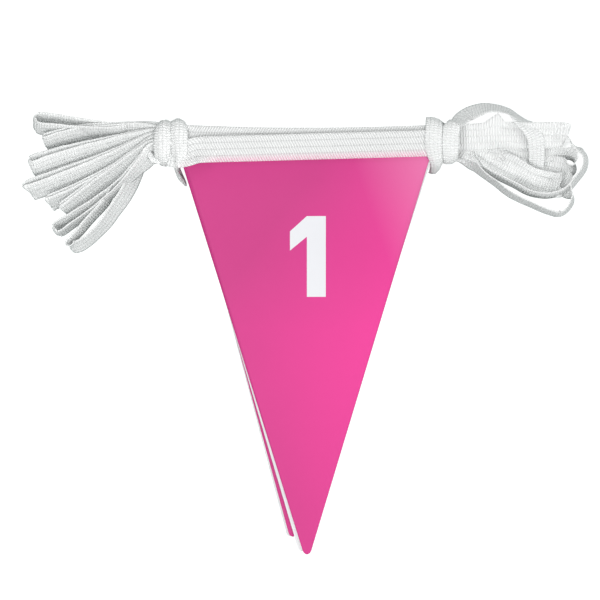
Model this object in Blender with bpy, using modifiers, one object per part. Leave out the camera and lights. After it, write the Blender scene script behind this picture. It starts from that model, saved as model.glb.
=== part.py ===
"""Fabric bunting, folded pennant on pennant into a stack and bound at both sides with its own tape.

The bunting lies on its back on a surface: the tape runs along X, the pennants point to -Y, and +Z is up.
Every second pennant is turned over by the accordion fold. The tape between two pennants stands out as a
loop, to the left and to the right in turn, and each free end of the tape is wound round one neck.
"""

import math
from collections import namedtuple

import bmesh
import bpy
import numpy as np

MM = 0.001

# Driving sizes, in metres
PENNANTS = 11
PENNANT_WIDTH = 0.203
PENNANT_LENGTH = 0.3235
TIP_WIDTH = 0.005
TAPE_WIDTH = 0.021
SHEET = 0.001
GAP = 0.0003
LAYER = SHEET + GAP

# The stack: where the pennants' sewn edge lies, and how they settle from the thick heading to the thin tips
TOP_EDGE_Y = 0.1428
HEADING_Y = 0.1450
SETTLE_START = 0.122
SETTLE_LENGTH = 0.105
HEADING_END = 0.104
HEADING_STEPS = 25

# The two necks, where the tape's layers are squeezed together: their place along the tape, the height of
# the lowest layer's middle, each next layer's step up and across, in mm, and the lowest and highest layers'
# tilt, in degrees
NECK_Y = 0.1492
NECK_PITCH = 0.0012
Neck = namedtuple("Neck", "x floor rise shift layers low_tilt high_tilt")
LEFT_NECK = Neck(-119.0, 8.6, 0.98, -1.03, 14, 20.0, 54.0)
RIGHT_NECK = Neck(121.0, 5.4, 1.25, 0.70, PENNANTS, 4.0, 4.0)

# Each pennant's place in the stack, from the front one down: mm, mm, degrees, mm cut short, then its tape's
# own place, turn, and how far its ends lie above its middle, mm. The front tape's left end is drawn down,
# by FRONT_DIP from DIP_START over DIP_LENGTH.
FRONT_DIP = 0.0036
DIP_START = 0.084
DIP_LENGTH = 0.016
Pennant = namedtuple("Pennant", "right up turn short tape_up tape_turn tape_bow")
PENNANT_ROWS = [
    Pennant(0.2, 0.0, 0.25, 0.0, 0.0, 1.6, 0.0),
    Pennant(1.4, 0.2, -0.70, 2.4, 4.7, 0.0, 2.4),
    Pennant(2.8, 5.0, -2.30, 8.8, 4.4, -0.6, 1.8),
    Pennant(3.0, 5.6, -2.70, 8.2, 3.4, -0.6, 0.8),
    Pennant(0.8, 3.0, -0.75, 6.0, 2.4, 0.8, 0.4),
    Pennant(1.2, 2.2, -0.65, 5.0, 3.2, -0.5, 0.6),
    Pennant(0.6, 3.4, -0.85, 6.0, 4.0, 0.2, 0.2),
    Pennant(1.4, 2.6, -0.60, 4.0, 1.8, 0.6, 0.8),
    Pennant(1.0, 4.0, -1.00, 7.0, 3.6, -0.8, 0.2),
    Pennant(0.8, 1.8, -0.55, 5.0, 2.6, 0.4, 0.4),
    Pennant(0.5, 2.8, -0.70, 6.0, 1.6, 0.3, 0.0),
]

# The left fan, from the lowest loop up: the middle and the tip of its spine and how far its legs part, in
# mm, then the near leg's tilt and how much further the far leg leans, in degrees, and its upper edge's
# reach at the turn, a share
Loop = namedtuple("Loop", "mid_x mid_y tip_x tip_y opening tilt lean skew")
LEFT_LOOPS = [
    Loop(-168.0, 159.2, -213.4, 164.6, 8.8, 65.0, 0.0, 0.0),
    Loop(-168.0, 157.8, -208.0, 148.9, 2.4, 60.0, 0.0, 0.0),
    Loop(-165.6, 143.4, -216.8, 128.6, 4.0, 48.0, 6.0, 0.06),
    Loop(-180.0, 125.2, -215.2, 112.0, 4.4, 52.0, 2.0, 0.45),
    Loop(-166.4, 117.6, -202.4, 101.2, 2.4, 60.0, 0.0, 0.2),
    Loop(-158.4, 120.4, -192.0, 95.2, 2.2, 60.0, 0.0, 0.1),
    Loop(-166.2, 99.6, -197.8, 78.0, 5.2, 77.0, 6.0, 0.0),
]
LEFT_GAP_LOOPS = (PENNANTS - 1) // 2

# The right loops, a row for each place where the tape bends: mm, mm, mm, then the bearing of the tape's
# width and how far that edge is raised, in degrees. They run from the upper pennant's side round to the
# lower one's.
Fold = namedtuple("Fold", "x y z spin tilt")
RIGHT_LOOPS = [
    [
        Fold(138, 153.4, 19.8, 92, 0),
        Fold(150, 154.2, 20.8, 92, -2),
        Fold(161, 154.4, 21.2, 90, 0),
        Fold(171, 154.2, 21.0, 90, 4),
        Fold(182, 154.2, 21.0, 90, 8),
        Fold(200, 154.6, 20.5, 94, 12),
        Fold(206.5, 154.4, 19.4, 102, 18),
        Fold(209.6, 153.6, 17.8, 112, 26),
        Fold(203, 154.4, 15.4, 98, 14),
        Fold(178, 154.2, 16.4, 90, 6),
        Fold(148, 152, 17.6, 90, 2),
    ],
    [
        Fold(142, 147.6, 16.4, 94, 0),
        Fold(158, 144.4, 16.0, 97, 2),
        Fold(172, 142.0, 15.2, 92, 4),
        Fold(186, 142.6, 14.4, 86, 8),
        Fold(199, 143.6, 13.4, 82, 14),
        Fold(211, 140.5, 12.4, 60, 46),
        Fold(216, 133.5, 11.4, 30, 84),
        Fold(211.5, 127.5, 10.4, 118, 46),
        Fold(200, 128.5, 9.8, 108, 14),
        Fold(186, 132.5, 9.6, 106, 4),
        Fold(168, 141, 10.8, 104, 0),
        Fold(146, 147, 13.6, 96, 0),
    ],
    [
        Fold(140, 141.6, 14.8, 98, -14),
        Fold(154, 134.4, 15.2, 112, 2),
        Fold(168, 127.0, 15.0, 116, 18),
        Fold(182, 119.6, 14.6, 112, 28),
        Fold(195, 115.8, 12.4, 102, 32),
        Fold(204.5, 115.0, 9.0, 96, 36),
        Fold(196, 115.8, 6.8, 102, 22),
        Fold(183, 119.4, 8.2, 110, 24),
        Fold(168, 126.2, 8.8, 114, 20),
        Fold(146, 138, 9.0, 100, 8),
    ],
    [
        Fold(129, 140.4, 7.8, 78, 28),
        Fold(136, 133.2, 9.8, 66, 64),
        Fold(143.2, 127.6, 11.2, 62, 78),
        Fold(154.4, 121.4, 11.3, 62, 79),
        Fold(168, 114.6, 11.4, 62, 79),
        Fold(180, 108.6, 11.4, 70, 79),
        Fold(192, 106.2, 11.4, 90, 79),
        Fold(204, 108.4, 11.4, 112, 78),
        Fold(211.6, 113.0, 11.4, 130, 76),
        Fold(218.2, 120.4, 11.2, 142, 76),
        Fold(223.4, 127.8, 11.2, 158, 76),
        Fold(225.0, 134.0, 11.2, 180, 76),
        Fold(223.0, 140.4, 11.2, 208, 77),
        Fold(218.0, 144.6, 10.8, 240, 80),
        Fold(211.0, 147.6, 9.0, 80, 60),
        Fold(198, 150, 6.0, 84, 20),
        Fold(165, 149, 4.6, 90, 0),
        Fold(140, 147, 6.4, 90, 0),
    ],
    [
        Fold(129, 139.0, 6.6, 76, 34),
        Fold(135.6, 130.6, 9.8, 60, 70),
        Fold(143.2, 123.0, 11.2, 56, 79),
        Fold(155, 114.2, 11.3, 58, 79),
        Fold(166, 106.2, 11.3, 60, 79),
        Fold(181, 99.0, 11.4, 70, 80),
        Fold(196.5, 92.8, 11.4, 76, 80),
        Fold(204, 90.8, 11.4, 100, 80),
        Fold(210.5, 95.6, 11.4, 150, 80),
        Fold(214.5, 103.0, 11.4, 175, 80),
        Fold(213.0, 109.5, 10.6, 40, 82),
        Fold(206, 118, 3.6, 40, 20),
        Fold(186, 130, 1.8, 66, 0),
        Fold(160, 140, 1.8, 78, 0),
        Fold(138, 146, 4.4, 90, 0),
    ],
]

# The far edge of the top loop at the right is drawn out in a point: its place along X, the height over
# which the loop's upper leg lies, how far out it is drawn, and how far the point's two feet are from it, in
# mm
EdgePoint = namedtuple("EdgePoint", "x over out before after")
DRAWN_POINT = EdgePoint(154.4, 19.2, 7.4, 11.0, 5.4)

# The tape's end at the right: from the neck out under the upper loops, up at their far end and back over
# them as a band, then round beside them on its edge to the neck. The width is what the tape is gathered to,
# in mm.
Gathered = namedtuple("Gathered", "x y z spin tilt width")
RIGHT_TAIL = [
    Gathered(126.5, 143.0, 5.4, 84, 2, 20),
    Gathered(140.0, 138.0, 5.4, 70, 0, 17),
    Gathered(154.0, 131.4, 5.2, 64, 0, 14),
    Gathered(167.0, 125.4, 5.2, 68, 0, 13),
    Gathered(176.6, 123.0, 5.8, 96, 0, 13),
    Gathered(182.0, 125.4, 8.4, 138, 4, 13),
    Gathered(184.4, 130.4, 13.2, 166, 8, 13),
    Gathered(185.0, 137.4, 18.6, 176, 10, 13),
    Gathered(184.8, 145.4, 22.4, 180, 14, 13.5),
    Gathered(184.0, 151.6, 23.8, 188, 16, 14),
    Gathered(181.4, 157.2, 23.6, 202, 24, 14),
    Gathered(177.6, 161.8, 21.2, 216, 46, 16),
    Gathered(173.2, 165.8, 16.4, 228, 66, 19),
    Gathered(168.2, 170.2, 12.2, 236, 76, 21),
    Gathered(162.6, 173.8, 11.2, 250, 74, 21),
    Gathered(156.4, 175.7, 11.0, 263, 72, 21),
    Gathered(148.0, 176.6, 10.8, 270, 69, 21),
    Gathered(140.4, 175.2, 10.4, 281, 62, 21),
    Gathered(132.6, 172.4, 10.4, 289, 58, 21),
    Gathered(126.6, 169.0, 12.0, 300, 57, 20),
    Gathered(122.6, 164.6, 16.4, 322, 54, 17),
]

# The fan's last loop, made by the left end of the tape: from under the neck out, round and back to the
# neck's side
LEFT_END_LOOP = [
    Fold(-120.6, 139.6, 6.4, 140, 56),
    Fold(-127.4, 137.4, 9.4, 124, 66),
    Fold(-132.4, 132.0, 9.8, 140, 64),
    Fold(-135.2, 125.0, 9.8, 166, 59),
    Fold(-138.4, 116.8, 9.8, 160, 59),
    Fold(-145.1, 105.0, 9.8, 148, 59),
    Fold(-151.8, 95.2, 9.8, 143, 61),
    Fold(-157.4, 87.0, 9.8, 140, 63),
    Fold(-164.8, 78.4, 9.8, 136, 66),
    Fold(-173.4, 70.4, 9.8, 130, 66),
    Fold(-181.4, 65.6, 9.8, 124, 63),
    Fold(-186.6, 65.0, 10.0, 124, 63),
    Fold(-188.8, 67.4, 10.2, 126, 67),
    Fold(-187.0, 70.6, 10.8, 130, 74),
    Fold(-183.6, 74.2, 10.8, 132, 74),
    Fold(-178.8, 79.4, 10.9, 136, 73),
    Fold(-172.4, 86.8, 10.8, 140, 73),
    Fold(-164.8, 94.8, 10.8, 140, 73),
    Fold(-158.4, 102.8, 10.8, 144, 74),
    Fold(-153.6, 110.6, 10.9, 146, 77),
    Fold(-146.4, 118.8, 11.2, 136, 79),
    Fold(-137.4, 127.6, 12.0, 126, 79),
    Fold(-126.5, 134.6, 13.4, 112, 78),
    Fold(-116.0, 138.6, 16.5, 96, 66),
]

# The two turns of each binding, a row for each side of the neck that it passes: degrees, 0 at the far side,
# 90 on top, 180 at the pennants' side and 270 under the neck; then its place along the tape, how far out it
# runs and what it is gathered to, in mm, and the bearing of its width, in degrees. A free end follows from
# the last turn's top.
Turn = namedtuple("Turn", "angle x out width spin")
LEFT_TURNS = [
    Turn(-100, -114.0, 14.0, 13.0, 180),
    Turn(0, -113.4, 15.3, 13.4, 199),
    Turn(90, -113.6, 14.6, 13.8, 180),
    Turn(180, -113.4, 17.4, 12.8, 160),
    Turn(270, -111.0, 12.4, 12.0, 180),
    Turn(360, -100.6, 16.7, 12.8, 168),
    Turn(450, -100.2, 14.8, 13.8, 180),
]
LEFT_FREE_END = [
    Gathered(-100.0, 142.0, 29.9, 180, 0, 13.2),
    Gathered(-100.2, 137.4, 29.8, 180, 0, 11.8),
    Gathered(-101.2, 133.8, 29.2, 180, 0, 7.4),
    Gathered(-102.2, 131.8, 27.6, 182, 0, 4.4),
    Gathered(-102.2, 129.4, 22.5, 186, 0, 4.0),
    Gathered(-101.6, 126.8, 16.0, 194, 0, 4.2),
    Gathered(-100.4, 123.0, 9.0, 202, 0, 4.2),
    Gathered(-98.0, 118.4, 4.0, 210, 0, 4.2),
    Gathered(-96.2, 116.0, 1.8, 212, 0, 3.2),
]
RIGHT_TURNS = [
    Turn(20, 117.4, 15.6, 14.0, 0),
    Turn(90, 115.6, 14.2, 13.6, 0),
    Turn(180, 115.4, 16.6, 12.6, 6),
    Turn(270, 111.5, 12.4, 12.0, 0),
    Turn(360, 103.6, 18.4, 13.4, -17),
    Turn(450, 102.2, 14.8, 13.6, -2),
]
RIGHT_FREE_END = [
    Gathered(102.8, 142.0, 29.6, 0, 0, 12.6),
    Gathered(103.8, 136.4, 29.2, 2, 0, 11.4),
    Gathered(105.0, 132.2, 26.2, 6, 0, 10.2),
    Gathered(105.0, 129.2, 20.5, 12, 0, 9.6),
    Gathered(104.4, 126.8, 13.0, 20, 0, 9.2),
    Gathered(103.8, 125.2, 6.0, 24, 0, 9.0),
]
BINDING_Z = 0.0147


def smooth(t):
    """A soft step from 0 to 1: zero slope at both ends."""
    t = np.clip(t, 0.0, 1.0)
    return t * t * (3.0 - 2.0 * t)


def level(layer):
    """Middle height of a layer of the stack, counted from the surface up."""
    return SHEET / 2 + layer * LAYER


def heading_layers(number):
    """The layers that pennant and tape take in the heading. A turned-over pennant lies on its tape."""
    below = 2 * (PENNANTS - number)
    return (below, below + 1) if number % 2 else (below + 1, below)


def neck_place(neck, slot):
    """Middle of one of a neck's layers, counted from the lowest up."""
    y = NECK_Y + neck.shift * MM * (slot - (neck.layers - 1) / 2)
    return neck.x * MM, y, (neck.floor + neck.rise * slot) * MM


def spline(rows, per_span):
    """A smooth curve through the rows, with so many points a span. The last row is left to the next curve."""
    rows = np.asarray(rows, float)
    rows = np.vstack([2 * rows[0] - rows[1], rows, 2 * rows[-1] - rows[-2]])
    t = (np.arange(per_span) / per_span)[None, :, None]
    a, b, c, d = (rows[k : len(rows) - 3 + k, None, :] for k in range(4))
    curve = 0.5 * (
        2 * b
        + (c - a) * t
        + (2 * a - 5 * b + 4 * c - d) * t**2
        + (3 * b - a - 3 * c + d) * t**3
    )
    return curve.reshape(-1, rows.shape[1])


def station(fold):
    """One fold's row as place, width direction and width: the row's own width or else the tape's."""
    spin, tilt = math.radians(fold.spin), math.radians(fold.tilt)
    across = (math.cos(tilt) * math.cos(spin), math.cos(tilt) * math.sin(spin), math.sin(tilt))
    width = fold.width * MM if isinstance(fold, Gathered) else TAPE_WIDTH
    return [fold.x * MM, fold.y * MM, fold.z * MM, *across, width]


def neck_tilt(neck, slot):
    """Tilt of one of a neck's layers, in degrees."""
    return neck.low_tilt + (neck.high_tilt - neck.low_tilt) * slot / (neck.layers - 1)


def neck_station(neck, slot):
    tilt = math.radians(neck_tilt(neck, slot))
    return [*neck_place(neck, slot), 0, math.cos(tilt), math.sin(tilt), TAPE_WIDTH]


def heading_station(number, x):
    row = PENNANT_ROWS[number - 1]
    turn = math.radians(row.tape_turn)
    y = HEADING_Y + (row.tape_up + row.tape_bow * (x / HEADING_END) ** 2) * MM + x * math.tan(turn)
    if number == 1:
        y -= FRONT_DIP * smooth((-x - DIP_START) / DIP_LENGTH)
    return [x, y, level(heading_layers(number)[1]), -math.sin(turn), math.cos(turn), 0, TAPE_WIDTH]


def heading_run(number, left_slot, right_slot):
    """A tape's run over its pennant, from neck to neck, left to right."""
    left, right = heading_station(number, -HEADING_END), heading_station(number, HEADING_END)
    middle = [heading_station(number, x) for x in np.linspace(-HEADING_END, HEADING_END, HEADING_STEPS)]
    into_left = ease(neck_station(LEFT_NECK, left_slot), left, 4)
    into_right = ease(right, neck_station(RIGHT_NECK, right_slot), 4)
    return np.vstack([into_left, middle, into_right])


def ease(start, end, steps):
    """Rows strictly between two rows: even along X, and easing in and out of all the rest."""
    t = np.arange(1, steps)[:, None] / steps
    start, end = np.array(start, float), np.array(end, float)
    rows = start + (end - start) * smooth(t)
    rows[:, 0] = start[0] + (end[0] - start[0]) * t[:, 0]
    return rows


def parabola(first, middle, last, t):
    """A parabola through three places, the middle one at its share of the straight distances."""
    before, after = np.linalg.norm(middle - first), np.linalg.norm(last - middle)
    m = before / (before + after)
    t = t[:, None]
    return (
        first * (t - m) * (t - 1) / m
        + middle * t * (t - 1) / (m * (m - 1))
        + last * t * (t - m) / (1 - m)
    )


def fan_loop(loop, low_slot):
    """One loop of the left fan: both legs from the neck out, and the turn at its end, upper leg first.

    Its spine is a parabola from the neck through the loop's middle to its tip. Outwards the two legs open,
    tilt to one side and sink until the lower edge rests on the surface. The far leg leans further, about its
    lower edge. The turn is half a circle between the legs.
    """
    end_radius = loop.opening * MM / 2
    r = np.linspace(0, 1, 10)
    start = (np.array(neck_place(LEFT_NECK, low_slot)) + neck_place(LEFT_NECK, low_slot + 1)) / 2
    middle, tip = np.array([loop.mid_x, loop.mid_y]) * MM, np.array([loop.tip_x, loop.tip_y]) * MM
    spine = parabola(start[:2], middle, tip, r)
    along = np.gradient(spine, axis=0)
    along = along / np.linalg.norm(along, axis=1, keepdims=True)
    start_tilt = neck_tilt(LEFT_NECK, low_slot + 0.5)
    tilt = np.radians(start_tilt + (loop.tilt - start_tilt) * smooth(r / 0.45))
    opening = NECK_PITCH + (2 * end_radius - NECK_PITCH) * smooth(r / 0.95)
    resting = GAP + SHEET / 2 + TAPE_WIDTH / 2 * np.sin(tilt[-1]) + end_radius * np.cos(tilt[-1])
    z = start[2] + (resting - start[2]) * smooth(r / 0.85)
    spine = np.column_stack([spine, z])
    along = np.column_stack([along, 0 * r])
    level_across = np.stack([along[:, 1], -along[:, 0], 0 * r], 1)
    up = np.array([[0.0, 0.0, 1.0]])

    def width_way(tilt):
        return level_across * np.cos(tilt)[:, None] + up * np.sin(tilt)[:, None]

    across = width_way(tilt)
    leaning = width_way(tilt - math.radians(loop.lean) * smooth((r - 0.25) / 0.75))
    normal = up * np.cos(tilt)[:, None] - level_across * np.sin(tilt)[:, None]
    half = opening[:, None] / 2
    width = np.full((len(r), 1), TAPE_WIDTH)
    near = np.hstack([spine + normal * half, across, width])
    far = np.hstack([spine - normal * half + (leaning - across) * TAPE_WIDTH / 2, leaning, width])

    # the turn, in which the lean comes in evenly and the upper edge reaches further out by the skew
    turn = np.radians([60, 30, 0, -30, -60])[:, None]
    share = (1 - np.sin(turn)) / 2
    way = across[-1] + (leaning[-1] - across[-1]) * share + along[-1] * loop.skew * np.cos(turn)
    place = spine[-1] + end_radius * (along[-1] * np.cos(turn) + normal[-1] * np.sin(turn))
    place = place + (way - across[-1]) * TAPE_WIDTH / 2
    end = np.hstack([place, way, width[:5]])
    return np.vstack([near, end, far[::-1]])


def binding(turns, step):
    """A tape wound round a neck, as rows of place, width direction and width.

    Its section is a rounded box: the two coordinates are the sine and cosine of the angle, each raised to a
    power under one, times how far out the tape runs there.
    """
    angles, places, outs, widths, spins = np.array(turns, float).T
    angle = np.linspace(angles[0], angles[-1], 1 + round((angles[-1] - angles[0]) / step))
    x, out, width = (np.interp(angle, angles, column) * MM for column in (places, outs, widths))
    spin = np.radians(np.interp(angle, angles, spins))
    a = np.radians(angle)
    y = NECK_Y + out * np.sign(np.cos(a)) * np.abs(np.cos(a)) ** 0.7
    z = BINDING_Z + out * np.sign(np.sin(a)) * np.abs(np.sin(a)) ** 0.7
    return np.stack([x, y, z, np.cos(spin), np.sin(spin), 0 * spin, width], 1)


def free_end(rows):
    return np.array([station(row) for row in rows])


def drawn_out(place):
    """How far the top loop's far edge is drawn out of line: evenly up to the point and down again."""
    from_point = place[:, 0] / MM - DRAWN_POINT.x
    foot = np.where(from_point < 0, DRAWN_POINT.before, DRAWN_POINT.after)
    share = 1 - np.abs(from_point) / foot
    on_top = place[:, 2] / MM > DRAWN_POINT.over
    return np.outer(np.clip(share, 0, 1) * on_top, (0, DRAWN_POINT.out * MM, 0))


def tape_route():
    """The whole tape from its left free end to its right one."""
    loops = [fan_loop(loop, 2 * k) for k, loop in enumerate(LEFT_LOOPS)]
    route = []

    # the left free end: wound twice round the neck, then out and back as the fan's last loop
    turns = np.vstack([binding(LEFT_TURNS, 18), free_end(LEFT_FREE_END)])[::-1]
    top_slot = 2 * len(LEFT_LOOPS) - 1
    folds = [station(fold) for fold in LEFT_END_LOOP]
    last_loop = [turns[-1]] + folds + [neck_station(LEFT_NECK, top_slot)]
    route += [turns[:-1], spline(last_loop, 3)]

    # the other loops of the left end, each folded back on itself inside the neck
    for k in range(len(LEFT_LOOPS) - 1, LEFT_GAP_LOOPS - 1, -1):
        route.append(loops[k])
        if k > LEFT_GAP_LOOPS:
            upper, lower = neck_station(LEFT_NECK, 2 * k), neck_station(LEFT_NECK, 2 * k - 1)
            inner_fold = (np.array(upper) + np.array(lower)) / 2
            inner_fold[0] += 2 * NECK_PITCH
            route.append([inner_fold])

    # run after run over the pennants, with a gap's loop at the right and at the left in turn
    for number in range(1, PENNANTS + 1):
        left_slot = 2 * LEFT_GAP_LOOPS - number + 1
        right_slot = PENNANTS - number
        run = heading_run(number, left_slot, right_slot)
        route.append(run if number % 2 else run[::-1])
        if number == PENNANTS:
            break
        if number % 2:
            folds = [station(fold) for fold in RIGHT_LOOPS[number // 2]]
            start, end = neck_station(RIGHT_NECK, right_slot), neck_station(RIGHT_NECK, right_slot - 1)
            route.append(np.vstack([spline([start] + folds + [end], 4), [end]]))
        else:
            route.append(loops[LEFT_GAP_LOOPS - number // 2])

    # the right free end: out under the upper loops, back over them as a band, and wound twice round the neck
    turns = np.vstack([binding(RIGHT_TURNS, 18), free_end(RIGHT_FREE_END)])
    tail = [neck_station(RIGHT_NECK, 0)] + [station(fold) for fold in RIGHT_TAIL] + [turns[0]]
    route += [spline(tail, 4), turns]
    return np.vstack(route)


def tape_edges():
    """The tape's two edges along its route: square to it, and nowhere under the surface."""
    route = tape_route()
    place, across, width = route[:, :3], route[:, 3:6], route[:, 6:]
    along = np.gradient(place, axis=0)
    along /= np.linalg.norm(along, axis=1, keepdims=True)
    across = across - along * np.sum(across * along, axis=1, keepdims=True)
    across /= np.linalg.norm(across, axis=1, keepdims=True)
    reach = across * width / 2
    lowest = GAP + SHEET / 2 + np.abs(reach[:, 2])
    place[:, 2] = np.maximum(place[:, 2], lowest)
    return place + reach + drawn_out(place), place - reach


def make_material(name, colour, roughness):
    material = bpy.data.materials.new(name)
    material.use_nodes = True
    shader = material.node_tree.nodes["Principled BSDF"]
    shader.inputs["Base Color"].default_value = (*colour, 1.0)
    shader.inputs["Roughness"].default_value = roughness
    return material


def make_sheet(name, across, along, place, material, collection):
    """A closed sheet: a grid whose corners are placed by a function of two shares, given its thickness."""
    mesh = bpy.data.meshes.new(name)
    grid = bmesh.new()
    bmesh.ops.create_grid(grid, x_segments=across, y_segments=along, size=0.5)
    for vertex in grid.verts:
        vertex.co = place(vertex.co.x + 0.5, vertex.co.y + 0.5)
    grid.to_mesh(mesh)
    grid.free()
    mesh.materials.append(material)
    sheet = bpy.data.objects.new(name, mesh)
    collection.objects.link(sheet)
    thickness = sheet.modifiers.new("Thickness", "SOLIDIFY")
    thickness.thickness = SHEET
    thickness.offset = 0.0
    return sheet


def make_tape(material, collection):
    edges = tape_edges()
    last = len(edges[0]) - 1

    def corner(u, v):
        return edges[round(u)][round(v * last)]

    return make_sheet("tape", 1, last, corner, material, collection)


def pennant_rows():
    """Shares of a pennant's length at which its grid has rows: close where it settles, then wider."""
    close = np.linspace(0, 0.36, 15)
    wide = np.linspace(0.36, 1, 9)[1:]
    return np.append(close, wide)


def make_pennant(number, material, collection):
    row = PENNANT_ROWS[number - 1]
    turn = math.radians(row.turn)
    length = PENNANT_LENGTH - row.short * MM
    in_heading = level(heading_layers(number)[0])
    in_stack = level(PENNANTS - number)
    shares = pennant_rows()
    last = len(shares) - 1

    def corner(u, v):
        share = shares[last - round(v * last)]
        x = (u - 0.5) * (PENNANT_WIDTH + (TIP_WIDTH - PENNANT_WIDTH) * share)
        y = -share * length
        # turned about the middle of the sewn edge
        place_x = row.right * MM + x * math.cos(turn) - y * math.sin(turn)
        place_y = TOP_EDGE_Y + row.up * MM + x * math.sin(turn) + y * math.cos(turn)
        settled = smooth((SETTLE_START - place_y) / SETTLE_LENGTH)
        return (place_x, place_y, in_heading + (in_stack - in_heading) * float(settled))

    return make_sheet(f"pennant_{number:02d}", 3, last, corner, material, collection)


def main():
    for thing in list(bpy.data.objects):
        bpy.data.objects.remove(thing, do_unlink=True)
    collection = bpy.data.collections.new("fabric_bunting")
    bpy.context.scene.collection.children.link(collection)
    pink = make_material("pink_cloth", (0.82, 0.09, 0.34), 0.45)
    white = make_material("white_tape", (0.80, 0.81, 0.81), 0.80)
    for number in range(1, PENNANTS + 1):
        make_pennant(number, pink, collection)
    make_tape(white, collection)


main()
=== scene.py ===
"""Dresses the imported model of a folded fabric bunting: pink pennants, woven tape, floor, light and camera.

It is laid out as a Blender add-on and run as a script. Each operator below makes one group of pieces, and
main() calls them in order. Sizes are in metres unless a table says otherwise. Pieces lie in the frame's own
place: the tape runs along X, the pennants point to -Y and the surface is at Z = 0.
"""

import math
from collections import namedtuple
from functools import partial

import bpy
import numpy as np
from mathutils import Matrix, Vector


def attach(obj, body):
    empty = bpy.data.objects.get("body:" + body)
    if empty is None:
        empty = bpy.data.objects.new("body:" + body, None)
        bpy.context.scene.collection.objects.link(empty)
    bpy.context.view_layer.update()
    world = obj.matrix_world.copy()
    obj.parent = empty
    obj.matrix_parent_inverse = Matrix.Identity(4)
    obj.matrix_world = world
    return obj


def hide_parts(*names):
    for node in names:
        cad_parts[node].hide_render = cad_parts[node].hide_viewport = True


bl_info = {
    "name": "Folded fabric bunting",
    "version": (1, 0, 0),
    "blender": (4, 5, 0),
    "location": "3D View > Sidebar > Bunting",
    "description": "Pennants and woven tape of a folded bunting, with its floor, light and camera",
    "category": "Object",
}

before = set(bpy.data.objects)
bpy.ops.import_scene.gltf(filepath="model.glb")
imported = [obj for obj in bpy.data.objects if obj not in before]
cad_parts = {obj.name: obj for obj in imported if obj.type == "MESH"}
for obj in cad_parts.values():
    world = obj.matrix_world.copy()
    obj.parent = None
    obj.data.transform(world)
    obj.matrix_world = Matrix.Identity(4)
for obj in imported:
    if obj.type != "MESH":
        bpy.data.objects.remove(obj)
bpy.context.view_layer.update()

MM = 0.001

# The bunting's own sizes, as the solids have them
# ------------------------------------------------
PENNANTS = 11
PENNANT_WIDTH = 0.203
PENNANT_LENGTH = 0.3235
TIP_WIDTH = 0.005
TAPE_WIDTH = 0.021
SHEET = 0.001
GAP = 0.0003
LAYER = SHEET + GAP

# The stack: where the pennants' sewn edge lies, and how they settle from the thick heading to the thin tips
TOP_EDGE_Y = 0.1428
HEADING_Y = 0.1450
SETTLE_START = 0.122
SETTLE_LENGTH = 0.105
HEADING_END = 0.104
HEADING_STEPS = 25

# The two necks, where the tape's layers are squeezed together: their place along the tape, the height of
# the lowest layer's middle, each next layer's step up and across, in mm, and the lowest and highest layers'
# tilt, in degrees
NECK_Y = 0.1492
NECK_PITCH = 0.0012
Neck = namedtuple("Neck", "x floor rise shift layers low_tilt high_tilt")
LEFT_NECK = Neck(-119.0, 8.6, 0.98, -1.03, 14, 20.0, 54.0)
RIGHT_NECK = Neck(121.0, 5.4, 1.25, 0.70, PENNANTS, 4.0, 4.0)

# Each pennant's place in the stack, from the front one down: mm, mm, degrees, mm cut short, then its tape's
# own place, turn, and how far its ends lie above its middle, mm. The front tape's left end is drawn down,
# by FRONT_DIP from DIP_START over DIP_LENGTH.
FRONT_DIP = 0.0036
DIP_START = 0.084
DIP_LENGTH = 0.016
Pennant = namedtuple("Pennant", "right up turn short tape_up tape_turn tape_bow")
PENNANT_ROWS = [
    Pennant(0.2, 0.0, 0.25, 0.0, 0.0, 1.6, 0.0),
    Pennant(1.4, 0.2, -0.70, 2.4, 4.7, 0.0, 2.4),
    Pennant(2.8, 5.0, -2.30, 8.8, 4.4, -0.6, 1.8),
    Pennant(3.0, 5.6, -2.70, 8.2, 3.4, -0.6, 0.8),
    Pennant(0.8, 3.0, -0.75, 6.0, 2.4, 0.8, 0.4),
    Pennant(1.2, 2.2, -0.65, 5.0, 3.2, -0.5, 0.6),
    Pennant(0.6, 3.4, -0.85, 6.0, 4.0, 0.2, 0.2),
    Pennant(1.4, 2.6, -0.60, 4.0, 1.8, 0.6, 0.8),
    Pennant(1.0, 4.0, -1.00, 7.0, 3.6, -0.8, 0.2),
    Pennant(0.8, 1.8, -0.55, 5.0, 2.6, 0.4, 0.4),
    Pennant(0.5, 2.8, -0.70, 6.0, 1.6, 0.3, 0.0),
]

# The left fan, from the lowest loop up: the middle and the tip of its spine and how far its legs part, in
# mm, then the near leg's tilt and how much further the far leg leans, in degrees, and its upper edge's
# reach at the turn, a share
Loop = namedtuple("Loop", "mid_x mid_y tip_x tip_y opening tilt lean skew")
LEFT_LOOPS = [
    Loop(-168.0, 159.2, -213.4, 164.6, 8.8, 65.0, 0.0, 0.0),
    Loop(-168.0, 157.8, -208.0, 148.9, 2.4, 60.0, 0.0, 0.0),
    Loop(-165.6, 143.4, -216.8, 128.6, 4.0, 48.0, 6.0, 0.06),
    Loop(-180.0, 125.2, -215.2, 112.0, 4.4, 52.0, 2.0, 0.45),
    Loop(-166.4, 117.6, -202.4, 101.2, 2.4, 60.0, 0.0, 0.2),
    Loop(-158.4, 120.4, -192.0, 95.2, 2.2, 60.0, 0.0, 0.1),
    Loop(-166.2, 99.6, -197.8, 78.0, 5.2, 77.0, 6.0, 0.0),
]
LEFT_GAP_LOOPS = (PENNANTS - 1) // 2

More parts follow.
